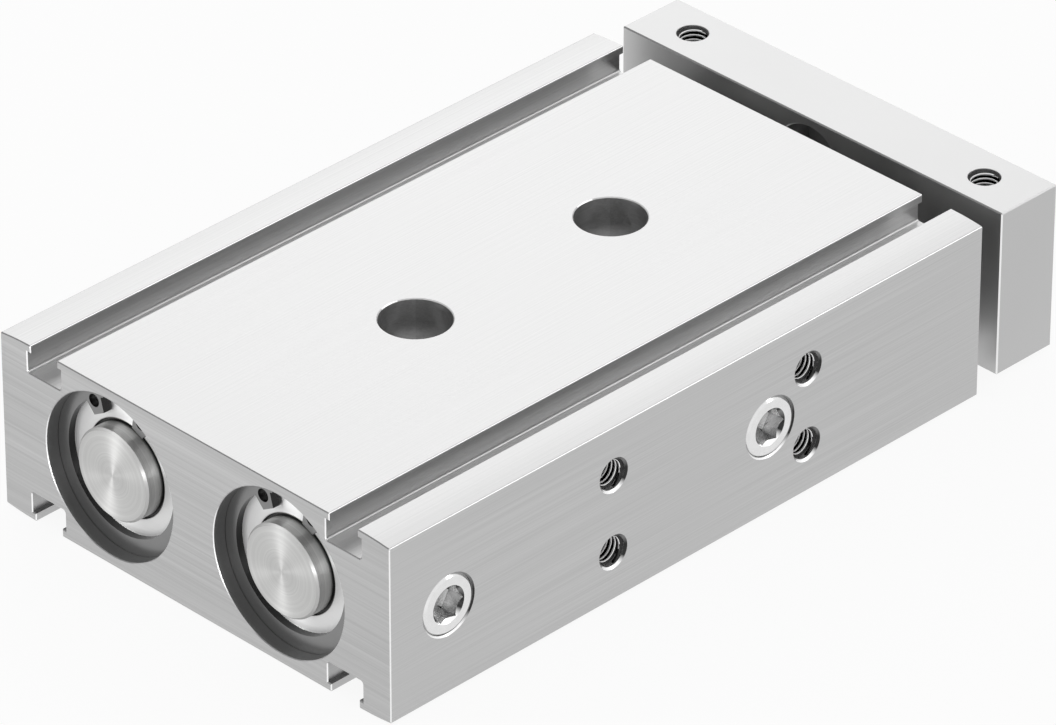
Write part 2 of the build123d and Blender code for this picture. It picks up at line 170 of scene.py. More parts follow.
def addRimCuts(tree, place, tint, where, axis):
    # countersinks and rounded long edges get painted light: where is 1 near the face they are cut in, axis is that
    # face's direction
    facing = addNode(tree, "ShaderNodeSeparateXYZ", {"Vector": place["Normal"]})
    lean = addNode(tree, "ShaderNodeMath", {0: facing.outputs[axis]}, operation="ABSOLUTE")
    leans = addNode(tree, "ShaderNodeMath", {0: lean.outputs[0], 1: slant, 2: rimCutPaintedLight["lean"]}, operation="COMPARE")
    cut = addNode(tree, "ShaderNodeMath", {0: leans.outputs[0], 1: where.outputs[0]}, operation="MULTIPLY")
    colour = addPaintedCutLight(tree, place)
    return addNode(tree, "ShaderNodeMix", {0: cut.outputs[0], 6: tint.outputs[2], 7: colour.outputs[2]},
                   data_type="RGBA")


brushed = {
    "light": "#C5C5C5", "dark": "#B6B6B6",
    "end": "#F2F2F2",  # the milled ends come out a little darker than the brushed sides
    "roughness": (0.30, 0.42), "anisotropy": 0.55,
    "lineWidth": 0.25, "lineLength": 60.0,  # mm, drawn wider than the 0.05 mm grit so that it shows
    "lineDepth": 0.004, "bump": 0.5,
    # painted shade on the bored walls, within this reach of the bore's axis
    "paintedBoreShade": "#868686", "boreReach": 13.95,  # mm round the bore's axis
    "rimBand": 0.4, "longEdgeBand": 0.9,  # mm in from the side faces, and from the top and underside
    # how much of a face's direction is the length's: more on an end, less on a bored wall and on a long edge
    "endLean": 0.7, "wallLean": 0.3, "straightLean": 0.2,
}


def brushedAnodisedAluminium():
    # extruded, belt-brushed along its length, then clear anodised: long pale hairlines, soft stretched highlights
    material, tree = newMaterial("brushedAnodisedAluminium")
    place = addNode(tree, "ShaderNodeTexCoord").outputs
    width, length = 1000 / brushed["lineWidth"], 1000 / brushed["lineLength"]
    along = addNode(tree, "ShaderNodeMapping", {"Vector": place["Object"], "Scale": (width, length, width)})
    across = addNode(tree, "ShaderNodeMapping", {"Vector": place["Object"], "Scale": (length, width, width)})
    longLines, endLines = [
        addNode(tree, "ShaderNodeTexNoise", {"Vector": way.outputs[0], "Scale": 1.0, "Detail": 3.0, "Roughness": 0.6})
        for way in (along, across)]
    facing = addNode(tree, "ShaderNodeSeparateXYZ", {"Vector": place["Normal"]})
    facingEnd = addNode(tree, "ShaderNodeMath", {0: facing.outputs["Y"]}, operation="ABSOLUTE")
    isEnd = addNode(tree, "ShaderNodeMath", {0: facingEnd.outputs[0], 1: brushed["endLean"]},
                    operation="GREATER_THAN")
    lines = addNode(tree, "ShaderNodeMix", {0: isEnd.outputs[0], 2: longLines.outputs["Fac"],
                    3: endLines.outputs["Fac"]})
    colour = addNode(tree, "ShaderNodeMapRange", noiseSpan | {"Value": lines.outputs[0]})
    tint = addNode(tree, "ShaderNodeMix", {0: colour.outputs[0], 6: linear(brushed["dark"]),
                   7: linear(brushed["light"])}, data_type="RGBA")
    tint = addNode(tree, "ShaderNodeMix", {0: isEnd.outputs[0], 6: tint.outputs[2], 7: linear(brushed["end"])},
                   data_type="RGBA", blend_type="MULTIPLY")
    # painted highlight and painted shade on the rims of the side holes and on the long edges
    split = addNode(tree, "ShaderNodeSeparateXYZ", {"Vector": place["Object"]})
    out = addNode(tree, "ShaderNodeMath", {0: split.outputs["X"]}, operation="ABSOLUTE")
    offX = addNode(tree, "ShaderNodeMath", {0: out.outputs[0], 1: boreX}, operation="SUBTRACT")
    offZ = addNode(tree, "ShaderNodeMath", {0: split.outputs["Z"], 1: axisZ}, operation="SUBTRACT")
    atSide = addNode(tree, "ShaderNodeMath", {0: out.outputs[0], 1: bodyHigh.x - brushed["rimBand"] * mm},
                     operation="GREATER_THAN")
    tint = addRimCuts(tree, place, tint, atSide, "X")
    level = addNode(tree, "ShaderNodeMath", {0: offZ.outputs[0]}, operation="ABSOLUTE")
    atTop = addNode(tree, "ShaderNodeMath", {0: level.outputs[0], 1: axisZ - brushed["longEdgeBand"] * mm},
                    operation="GREATER_THAN")
    straight = addNode(tree, "ShaderNodeMath", {0: facingEnd.outputs[0], 1: brushed["straightLean"]},
                       operation="LESS_THAN")
    longEdge = addNode(tree, "ShaderNodeMath", {0: atTop.outputs[0], 1: straight.outputs[0]}, operation="MULTIPLY")
    tint = addRimCuts(tree, place, tint, longEdge, "Z")
    # painted highlight and painted dark line along the body's end edges
    tint = addPaintedEdgeLight(tree, place, tint, bodyLow, bodyHigh, (0, 1, 0))
    # painted shade: the bored walls are painted a darker grey than the brushed outside
    spoke = addNode(tree, "ShaderNodeCombineXYZ", {"X": offX.outputs[0], "Y": offZ.outputs[0]})
    reach = addNode(tree, "ShaderNodeVectorMath", {0: spoke.outputs[0]}, operation="LENGTH")
    within = addNode(tree, "ShaderNodeMath", {0: reach.outputs["Value"], 1: brushed["boreReach"] * mm},
                     operation="LESS_THAN")
    isWall = addNode(tree, "ShaderNodeMath", {0: facingEnd.outputs[0], 1: brushed["wallLean"]},
                     operation="LESS_THAN")
    boredShadeMask = addNode(tree, "ShaderNodeMath", {0: within.outputs[0], 1: isWall.outputs[0]}, operation="MULTIPLY")
    tint = addNode(tree, "ShaderNodeMix", {0: boredShadeMask.outputs[0], 6: tint.outputs[2],
                   7: linear(brushed["paintedBoreShade"])}, data_type="RGBA")
    rough = addNode(tree, "ShaderNodeMapRange", noiseSpan | {"Value": lines.outputs[0],
                    "To Min": brushed["roughness"][0], "To Max": brushed["roughness"][1]})
    bump = addNode(tree, "ShaderNodeBump", {"Height": lines.outputs[0], "Strength": brushed["bump"],
                   "Distance": brushed["lineDepth"] * mm})
    notEnd = addNode(tree, "ShaderNodeMath", {0: 1.0, 1: isEnd.outputs[0]}, operation="SUBTRACT")
    lineWay = addNode(tree, "ShaderNodeCombineXYZ", {"X": isEnd.outputs[0], "Y": notEnd.outputs[0]})
    spread = addNode(tree, "ShaderNodeVectorMath", {0: place["Normal"], 1: lineWay.outputs[0]},
                     operation="CROSS_PRODUCT")  # the highlight stretches across the lines
    shader = addNode(tree, "ShaderNodeBsdfPrincipled", {
        "Base Color": tint.outputs[2], "Metallic": 1.0, "Roughness": rough.outputs[0], "Normal": bump.outputs[0],
        "Anisotropic": brushed["anisotropy"], "Tangent": spread.outputs[0]})
    finishMaterial(tree, shader)
    return material


blasted = {
    "colour": "#C2C2C2", "shade": "#BEBEBE", "cloudsPerMetre": 60.0,
    "roughness": 0.42, "grain": 0.12, "depth": 0.003, "bump": 0.4,  # grain and depth in mm
}


def blastedAnodisedAluminium():
    # milled, lightly blasted, clear anodised: even satin with the faintest grain
    material, tree = newMaterial("blastedAnodisedAluminium")
    place = addNode(tree, "ShaderNodeTexCoord").outputs
    grain = addNode(tree, "ShaderNodeTexNoise", {"Vector": place["Object"], "Scale": 1000 / blasted["grain"],
                    "Detail": 2.0})
    cloud = addNode(tree, "ShaderNodeTexNoise", {"Vector": place["Object"], "Scale": blasted["cloudsPerMetre"],
                    "Detail": 2.0})
    tint = addNode(tree, "ShaderNodeMix", {0: cloud.outputs["Fac"], 6: linear(blasted["shade"]),
                   7: linear(blasted["colour"])}, data_type="RGBA")
    # painted highlight and painted dark line along the yoke's edges
    tint = addPaintedEdgeLight(tree, place, tint, yokeLow, yokeHigh, (1, 1, 1))
    # painted shade in the yoke's pocket
    tint = addPaintedCreviceShade(tree, tint, "pocket")
    bump = addNode(tree, "ShaderNodeBump", {"Height": grain.outputs["Fac"], "Strength": blasted["bump"],
                   "Distance": blasted["depth"] * mm})
    shader = addNode(tree, "ShaderNodeBsdfPrincipled", {
        "Base Color": tint.outputs[2], "Metallic": 1.0, "Roughness": blasted["roughness"],
        "Normal": bump.outputs[0]})
    finishMaterial(tree, shader)
    return material


# the dark flanks are painted shade and the white crests a painted highlight
tapped = {
    "flank": {"light": "#3E3E3E", "dark": "#303030", "roughness": 0.24},
    "crest": {"light": "#FFFFFF", "dark": "#F0F0F0", "roughness": 0.6},
    "chatter": 0.15, "depth": 0.004, "bump": 0.4,  # chatter and depth in mm
}


def tappedAluminiumPaintedLight(part):
    # cut with a tap and left bare, with fine chatter: the flanks are painted dark as painted shade and the crests
    # painted white as a painted highlight
    look = tapped[part]
    material, tree = newMaterial(f"tappedAluminiumPaintedLight_{part}")
    place = addNode(tree, "ShaderNodeTexCoord").outputs
    chatter = addNode(tree, "ShaderNodeTexNoise", {"Vector": place["Object"], "Scale": 1000 / tapped["chatter"],
                      "Detail": 2.0})
    tint = addNode(tree, "ShaderNodeMix", {0: chatter.outputs["Fac"], 6: linear(look["dark"]),
                   7: linear(look["light"])}, data_type="RGBA")
    if part == "flank":
        # painted shade between the thread flanks
        tint = addPaintedCreviceShade(tree, tint, "thread")
    bump = addNode(tree, "ShaderNodeBump", {"Height": chatter.outputs["Fac"], "Strength": tapped["bump"],
                   "Distance": tapped["depth"] * mm})
    shader = addNode(tree, "ShaderNodeBsdfPrincipled", {
        "Base Color": tint.outputs[2], "Metallic": 1.0, "Roughness": look["roughness"], "Normal": bump.outputs[0]})
    finishMaterial(tree, shader)
    return material


turned = {
    "light": "#D8D8D7", "dark": "#B2B2B1",
    # the flange colour is painted light that lifts the flanges deep in the recess
    "paintedFlangeLight": "#F8F8F8", "flangeFrom": 8.0, "flangeShare": 0.75,  # the flange starts at this radius in mm
    "roughness": (0.40, 0.50), "anisotropy": 0.8,
    "feed": 0.22, "depth": 0.006, "bump": 0.6,  # feed and depth in mm
}


def turnedAluminium():
    # faced on a lathe: rings at the tool's feed round the bore axis, and a fan-shaped highlight
    material, tree = newMaterial("turnedAluminium")
    place = addNode(tree, "ShaderNodeTexCoord").outputs
    split = addNode(tree, "ShaderNodeSeparateXYZ", {"Vector": place["Object"]})
    side = addNode(tree, "ShaderNodeMath", {0: split.outputs["X"]}, operation="SIGN")
    centre = addNode(tree, "ShaderNodeMath", {0: side.outputs[0], 1: boreX}, operation="MULTIPLY")
    acrossX = addNode(tree, "ShaderNodeMath", {0: split.outputs["X"], 1: centre.outputs[0]}, operation="SUBTRACT")
    upZ = addNode(tree, "ShaderNodeMath", {0: split.outputs["Z"], 1: axisZ}, operation="SUBTRACT")
    spoke = addNode(tree, "ShaderNodeCombineXYZ", {"X": acrossX.outputs[0], "Z": upZ.outputs[0]})
    radius = addNode(tree, "ShaderNodeVectorMath", {0: spoke.outputs[0]}, operation="LENGTH")
    ringPlace = addNode(tree, "ShaderNodeCombineXYZ", {"X": radius.outputs["Value"], "Y": split.outputs["Y"]})
    rings = addNode(tree, "ShaderNodeTexNoise", {"Vector": ringPlace.outputs[0], "Scale": 1000 / turned["feed"],
                    "Detail": 2.0})
    tint = addNode(tree, "ShaderNodeMix", {0: rings.outputs["Fac"], 6: linear(turned["dark"]),
                   7: linear(turned["light"])}, data_type="RGBA")
    # painted light: the flanges, deep in the recess, are painted brighter
    isFlange = addNode(tree, "ShaderNodeMath", {0: radius.outputs["Value"], 1: turned["flangeFrom"] * mm},
                       operation="GREATER_THAN")
    paintedFlangeLift = addNode(tree, "ShaderNodeMath", {0: isFlange.outputs[0], 1: turned["flangeShare"]}, operation="MULTIPLY")
    tint = addNode(tree, "ShaderNodeMix", {0: paintedFlangeLift.outputs[0], 6: tint.outputs[2], 7: linear(turned["paintedFlangeLight"])},
                   data_type="RGBA")
    # painted shade in the turned parts' corners
    tint = addPaintedCreviceShade(tree, tint, "foot")
    rough = addNode(tree, "ShaderNodeMapRange", noiseSpan | {"Value": rings.outputs["Fac"],
                    "To Min": turned["roughness"][0], "To Max": turned["roughness"][1]})
    bump = addNode(tree, "ShaderNodeBump", {"Height": rings.outputs["Fac"], "Strength": turned["bump"],
                   "Distance": turned["depth"] * mm})
    ringWay = addNode(tree, "ShaderNodeVectorMath", {0: (0, 1, 0), 1: spoke.outputs[0]}, operation="CROSS_PRODUCT")
    spread = addNode(tree, "ShaderNodeVectorMath", {0: place["Normal"], 1: ringWay.outputs[0]},
                     operation="CROSS_PRODUCT")  # the highlight stretches across the rings
    shader = addNode(tree, "ShaderNodeBsdfPrincipled", {
        "Base Color": tint.outputs[2], "Metallic": 1.0, "Roughness": rough.outputs[0], "Normal": bump.outputs[0],
        "Anisotropic": turned["anisotropy"], "Tangent": spread.outputs[0]})
    finishMaterial(tree, shader)
    return material


# patch is the size of the shade's patches and depth that of its unevenness, both in mm
steels = {
    # bright plating
    "zincPlatedSteel": {"light": "#E6E6E6", "dark": "#E0E0E0", "roughness": (0.18, 0.22), "patch": 1.2,
                        "depth": 0.001},
    # ground to a mirror
    "hardChromedSteel": {"light": "#C8C8C8", "dark": "#C0C0C0", "roughness": (0.15, 0.19), "patch": 2.5,
                         "depth": 0.001},
    # open oily pores
    "sinteredBronze": {"light": "#B08A56", "dark": "#8A683C", "roughness": (0.38, 0.55), "patch": 0.4,
                       "depth": 0.01},
}
metalBump = 0.4


def platedMetal(name):
    look = steels[name]
    material, tree = newMaterial(name)
    place = addNode(tree, "ShaderNodeTexCoord").outputs
    patches = addNode(tree, "ShaderNodeTexNoise", {"Vector": place["Object"], "Scale": 1000 / look["patch"],
                      "Detail": 4.0, "Roughness": 0.6})
    spread = addNode(tree, "ShaderNodeMapRange", noiseSpan | {"Value": patches.outputs["Fac"]})
    tint = addNode(tree, "ShaderNodeMix", {0: spread.outputs[0], 6: linear(look["dark"]), 7: linear(look["light"])},
                   data_type="RGBA")
    # painted shade in sockets and corners
    tint = addPaintedCreviceShade(tree, tint, "socket")
    rough = addNode(tree, "ShaderNodeMapRange", {"Value": spread.outputs[0], "To Min": look["roughness"][0],
                    "To Max": look["roughness"][1]})
    bump = addNode(tree, "ShaderNodeBump", {"Height": patches.outputs["Fac"], "Strength": metalBump,
                   "Distance": look["depth"] * mm})
    shader = addNode(tree, "ShaderNodeBsdfPrincipled", {
        "Base Color": tint.outputs[2], "Metallic": 1.0, "Roughness": rough.outputs[0], "Normal": bump.outputs[0]})
    finishMaterial(tree, shader)
    return material


leadRoughness = 0.22


def leadPaintedLightSteel():
    # the key's lead, with painted light: a painted highlight on the side that faces up, painted shade beside that
    material, tree = newMaterial("leadPaintedLightSteel")
    place = addNode(tree, "ShaderNodeTexCoord").outputs
    shader = addNode(tree, "ShaderNodeBsdfPrincipled", {
        "Base Color": addPaintedCutLight(tree, place).outputs[2], "Metallic": 1.0, "Roughness": leadRoughness})
    finishMaterial(tree, shader)
    return material


# edge is a painted highlight and wall painted shade
springSteel = {
    "face": "#888888", "shade": "#828282", "edge": "#FFFFFF", "wall": "#303030",
    "roughness": 0.28, "patch": 2.5,  # patch in mm
    "faceLean": 0.9, "wallLean": 0.5,  # how much of a surface's direction is the ring axis's: edges lie between
}


def phosphatedSteelPaintedLight():
    # blanked and oiled, satin grey faces: the broken edges get a painted white highlight and the sheared walls painted
    # near-black shade
    material, tree = newMaterial("phosphatedSteelPaintedLight")
    place = addNode(tree, "ShaderNodeTexCoord").outputs
    patches = addNode(tree, "ShaderNodeTexNoise", {"Vector": place["Object"], "Scale": 1000 / springSteel["patch"],
                      "Detail": 4.0})
    tint = addNode(tree, "ShaderNodeMix", {0: patches.outputs["Fac"], 6: linear(springSteel["shade"]),
                   7: linear(springSteel["face"])}, data_type="RGBA")
    facing = addNode(tree, "ShaderNodeSeparateXYZ", {"Vector": place["Normal"]})
    lean = addNode(tree, "ShaderNodeMath", {0: facing.outputs["Y"]}, operation="ABSOLUTE")
    isFace = addNode(tree, "ShaderNodeMath", {0: lean.outputs[0], 1: springSteel["faceLean"]},
                     operation="GREATER_THAN")
    isWall = addNode(tree, "ShaderNodeMath", {0: lean.outputs[0], 1: springSteel["wallLean"]},
                     operation="LESS_THAN")
    tint = addNode(tree, "ShaderNodeMix", {0: isFace.outputs[0], 6: linear(springSteel["edge"]),
                   7: tint.outputs[2]}, data_type="RGBA")
    tint = addNode(tree, "ShaderNodeMix", {0: isWall.outputs[0], 6: tint.outputs[2],
                   7: linear(springSteel["wall"])}, data_type="RGBA")
    shader = addNode(tree, "ShaderNodeBsdfPrincipled", {
        "Base Color": tint.outputs[2], "Metallic": 1.0, "Roughness": springSteel["roughness"]})
    finishMaterial(tree, shader)
    return material


# grain in mm
polymers = {
    # satin black
    "mouldedNitrileRubber": {"light": "#262626", "dark": "#1B1B1B", "roughness": (0.42, 0.58), "ior": 1.52,
                             "grain": 0.3},
    # waxy dark grey
    "castPolyurethane": {"light": "#3A3A3A", "dark": "#2C2C2C", "roughness": (0.34, 0.48), "ior": 1.50,
                         "grain": 0.5},
    # dull, gritty
    "bondedFerrite": {"light": "#3B3938", "dark": "#2A2928", "roughness": (0.55, 0.75), "ior": 1.55,
                      "grain": 0.2},
    # cream, slightly waxy
    "machinedAcetal": {"light": "#E4E0D6", "dark": "#D6D1C5", "roughness": (0.32, 0.45), "ior": 1.48,
                       "grain": 0.4},
}
polymerGrain = {"depth": 0.01, "bump": 0.3}  # depth in mm


def polymer(name):
    look = polymers[name]
    material, tree = newMaterial(name)
    place = addNode(tree, "ShaderNodeTexCoord").outputs
    grain = addNode(tree, "ShaderNodeTexNoise", {"Vector": place["Object"], "Scale": 1000 / look["grain"],
                    "Detail": 3.0})
    tint = addNode(tree, "ShaderNodeMix", {0: grain.outputs["Fac"], 6: linear(look["dark"]),
                   7: linear(look["light"])}, data_type="RGBA")
    rough = addNode(tree, "ShaderNodeMapRange", {"Value": grain.outputs["Fac"], "To Min": look["roughness"][0],
                    "To Max": look["roughness"][1]})
    bump = addNode(tree, "ShaderNodeBump", {"Height": grain.outputs["Fac"], "Strength": polymerGrain["bump"],
                   "Distance": polymerGrain["depth"] * mm})
    shader = addNode(tree, "ShaderNodeBsdfPrincipled", {
        "Base Color": tint.outputs[2], "Roughness": rough.outputs[0], "IOR": look["ior"],
        "Normal": bump.outputs[0]})
    finishMaterial(tree, shader)
    return material


bodyFinish = brushedAnodisedAluminium()
flankFinish, crestFinish = tappedAluminiumPaintedLight("flank"), tappedAluminiumPaintedLight("crest")
yokeFinish = blastedAnodisedAluminium()
turnedFinish = turnedAluminium()
steelFinish = {name: platedMetal(name) for name in steels}
springFinish, leadFinish = phosphatedSteelPaintedLight(), leadPaintedLightSteel()
polymerFinish = {name: polymer(name) for name in polymers}

nodeFinish = {
    "body": bodyFinish,
    "yoke_plate": yokeFinish,
    "port_plug": steelFinish["zincPlatedSteel"],
    "rear_cap_seal": polymerFinish["mouldedNitrileRubber"],
    "rear_cap": turnedFinish,
    "rear_ring": springFinish,
    "front_ring": springFinish,
    "rear_bumper": polymerFinish["castPolyurethane"],
    "front_bumper": polymerFinish["castPolyurethane"],
    "front_gland": turnedFinish,
    "gland_seal": polymerFinish["mouldedNitrileRubber"],
    "rod_bush": steelFinish["sinteredBronze"],
    "rod_seal": polymerFinish["castPolyurethane"],
    "rod_wiper": polymerFinish["mouldedNitrileRubber"],
    "piston_rod": steelFinish["hardChromedSteel"],
    "piston_seal": polymerFinish["castPolyurethane"],
    "piston_magnet": polymerFinish["bondedFerrite"],
    "piston_screw": steelFinish["zincPlatedSteel"],
    "piston": turnedFinish,
    "wear_ring": polymerFinish["machinedAcetal"],
    "yoke_screw": steelFinish["zincPlatedSteel"],
}
kinds = sorted(nodeFinish, key=len, reverse=True)  # longest name first, so piston_rod isn't taken for piston
for name, node in nodes.items():
    finish = nodeFinish[next(kind for kind in kinds if name.startswith(kind))]
    node.data.materials.clear()
    node.data.materials.append(finish)
print("finishes assigned")

mergeWithin = 0.0001  # mm


def finishPiece(name, mesh, finish, body, smoothAngle):
    bmesh.ops.remove_doubles(mesh, verts=mesh.verts, dist=mergeWithin * mm)
    bmesh.ops.recalc_face_normals(mesh, faces=mesh.faces)
    data = bpy.data.meshes.new(name)
    mesh.to_mesh(data)
    mesh.free()
    data.polygons.foreach_set("use_smooth", [True] * len(data.polygons))
    data.set_sharp_from_angle(angle=radians(smoothAngle))
    data.materials.append(finish)
    piece = bpy.data.objects.new(name, data)
    bpy.context.scene.collection.objects.link(piece)
    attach(piece, body)
    return piece


def turnTowards(mesh, outward, mouth):
    # modelled about +Z with its mouth at the origin, then laid into place
    turn = Vector((0, 0, 1)).rotation_difference(Vector(outward)).to_matrix()
    bmesh.ops.rotate(mesh, verts=mesh.verts, matrix=turn, cent=(0, 0, 0))
    bmesh.ops.translate(mesh, verts=mesh.verts, vec=mouth)


# tapped holes: the threads are ridges that stand in from the drilled wall, all lengths in mm
smallThread = {"pitch": 0.8, "radius": 2.5, "height": 0.43, "start": 0.8, "depth": 8.0, "stepsPerTurn": 32, "fade": 8}
yokeThread = smallThread | {"start": 0.5}  # its holes have hardly any countersink
portThread = {"pitch": 0.907, "radius": 4.86, "height": 0.56, "start": 0.72, "stepsPerTurn": 48, "fade": 12}
ridge = {
    "root": 0.06,  # mm, rooted just inside the wall
    "wear": 0.08,  # mm, how far the screw wore the crest's corners back
    "foot": 0.49, "shoulder": 0.22, "crest": 0.12,  # in pitches up and down from the ridge's middle
    "turnsLeftFree": 0.8, "leastHeight": 0.02,  # the second as a share, where the ridge runs out
    "crestSlack": 0.05,  # mm past the worn corners that still counts as crest
}


def makeThread(name, size, mouth, outward, depth, body):
    pitch = size["pitch"] * mm
    wall = (size["radius"] + ridge["root"]) * mm
    crest = (size["radius"] - size["height"]) * mm
    worn = crest + ridge["wear"] * mm
    profile = ((wall, ridge["foot"]), (worn, ridge["shoulder"]), (crest, ridge["crest"]), (crest, -ridge["crest"]),
               (wall, -ridge["foot"]))
    points = len(profile)
    mesh = bmesh.new()
    corners = [mesh.verts.new((radius, 0, -size["start"] * mm + rise * pitch)) for radius, rise in profile]
    outline = [mesh.edges.new((corners[i - 1], corners[i])) for i in range(points)]
    turns = (depth - size["start"]) / size["pitch"] - ridge["turnsLeftFree"]
    steps = int(turns * size["stepsPerTurn"])
    bmesh.ops.spin(mesh, geom=outline + corners, angle=2 * pi * steps / size["stepsPerTurn"], steps=steps,
                   axis=(0, 0, 1), cent=(0, 0, 0), dvec=(0, 0, -pitch / size["stepsPerTurn"]), use_merge=False)
    bmesh.ops.holes_fill(mesh, edges=[edge for edge in mesh.edges if edge.is_boundary], sides=points)
    rings = [mesh.verts[i:i + points] for i in range(0, len(mesh.verts), points)]
    for count, ring in enumerate(rings):
        left = min(count, len(rings) - 1 - count) / size["fade"]
        if left < 1:  # both ends run out into the wall
            for vert in ring:
                radius = Vector((vert.co.x, vert.co.y)).length
                grown = wall - (wall - radius) * max(left, ridge["leastHeight"])
                vert.co.x *= grown / radius
                vert.co.y *= grown / radius
    for face in mesh.faces:
        reach = max(Vector((vert.co.x, vert.co.y)).length for vert in face.verts)
        face.material_index = int(reach < worn + ridge["crestSlack"] * mm)  # the crest has the second finish
    turnTowards(mesh, outward, mouth)
    piece = finishPiece(name, mesh, flankFinish, body, smoothAngle=40)
    piece.data.materials.append(crestFinish)


for side, mountName in (("left", "left_side_threads"), ("right", "right_side_threads")):
    mount = mounts[mountName]
    centre, dims = Vector(mount["pos_m"]), mount["dims"]
    for along, place in ((-1, "rear"), (1, "front")):
        for level, height in ((-1, "lower"), (1, "upper")):
            mouth = centre + Vector((0, along * dims["spacing_x_mm"] / 2, level * dims["spacing_y_mm"] / 2)) * mm
            makeThread(f"thread_{side}_{place}_{height}", smallThread, mouth, mount["axis"], smallThread["depth"],
                       "cylinder")
for place, mountName in (("front", "yoke_front_threads"), ("top", "yoke_top_threads")):
    mount = mounts[mountName]
    for sign, side in ((-1, "left"), (1, "right")):
        mouth = Vector(mount["pos_m"]) + Vector((sign * mount["dims"]["spacing_x_mm"] / 2, 0, 0)) * mm
        makeThread(f"thread_yoke_{place}_{side}", yokeThread, mouth, mount["axis"], yokeThread["depth"], "slider")
for mountName in ("rear_port", "front_port"):
    mount = mounts[mountName]
    mouth = Vector((bodyLow.x, mount["pos_m"][1], mount["pos_m"][2]))
    makeThread(f"thread_{mountName}", portThread, mouth, mount["axis"], mount["dims"]["length_mm"], "cylinder")
print("threads cut")

# retaining rings: stamped, then tumbled, so that their edges are broken
ringLook = {
    "edge": 0.14, "merge": 0.06,  # mm
    "flatWithin": 0.5,  # degrees, between faces that are joined into one
    "faceLean": 0.9,  # how much of a flat face's direction is the ring axis's
}

for end in ("rear", "front"):
    for side in sides:
        source = f"{end}_ring_{side}"
        mesh = bmesh.new()
        mesh.from_mesh(nodes[source].data)
        bmesh.ops.remove_doubles(mesh, verts=mesh.verts, dist=ringLook["merge"] * mm)
        bmesh.ops.dissolve_limit(mesh, angle_limit=radians(ringLook["flatWithin"]), verts=mesh.verts,
                                 edges=mesh.edges)
        for way in (-1, 1):  # each flat face is inset, and its old outline sinks to leave a broken edge
            flat = [face for face in mesh.faces if face.normal.y * way > ringLook["faceLean"]]
            outline = {vert for face in flat for vert in face.verts}
            bmesh.ops.inset_region(mesh, faces=flat, thickness=ringLook["edge"] * mm, use_even_offset=True,
                                   use_boundary=True)
            kept = {vert for face in flat for vert in face.verts}
            bmesh.ops.translate(mesh, verts=list(outline - kept), vec=(0, -way * ringLook["edge"] * mm, 0))
        ring = finishPiece(f"spring_{source}", mesh, springFinish, "cylinder", smoothAngle=25)
        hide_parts(source)
print("retaining rings done")


def extrudeRing(mesh, ring, scale, rise):
    # screws and plugs are an outline that is extruded ring by ring
    out = bmesh.ops.extrude_edge_only(mesh, edges=ring)["geom"]
    verts = [item for item in out if isinstance(item, bmesh.types.BMVert)]
    bmesh.ops.scale(mesh, verts=verts, vec=(scale, scale, 1))
    bmesh.ops.translate(mesh, verts=verts, vec=(0, 0, rise))
    return verts, [item for item in out if isinstance(item, bmesh.types.BMEdge) and all(v in verts for v in item.verts)]


def onHexagon(vert, width):
    # slides a point of a circle in or out to the hexagon with this width across its flats
    angle = Vector((1, 0)).angle_signed(Vector((vert.co.x, vert.co.y)), 0.0)
    reach = width / 2 / cos((angle + pi / 6) % (pi / 3) - pi / 6)
    radius = Vector((vert.co.x, vert.co.y)).length
    vert.co.x *= reach / radius
    vert.co.y *= reach / radius


def closeSocket(mesh, ring, inset, drillPoint):
    # floor of a key socket, with the point that its drill left
    floor = bmesh.ops.edgeloop_fill(mesh, edges=ring)["faces"]
    bmesh.ops.inset_region(mesh, faces=floor, thickness=inset * mm)
    bmesh.ops.translate(mesh, verts=floor[0].verts, vec=(0, 0, -drillPoint * mm))


# cap screws of the yoke: knurled head, hexagon socket, threaded shank, all lengths in mm
capScrew = {
    "headRadius": 5.0, "headHeight": 6.0, "shankRadius": 2.98, "length": 16.0,
    "knurls": 60, "knurlDepth": 0.16,
    "edge": 0.5, "edgeCurve": ((0.55, 0.12), (0.9, 0.0)),  # in and down from the head's corner, in edges
    "keyWidth": 5.0, "keyDepth": 3.0, "keyLead": 0.3, "floorInset": 0.6, "drillPoint": 0.4,
}


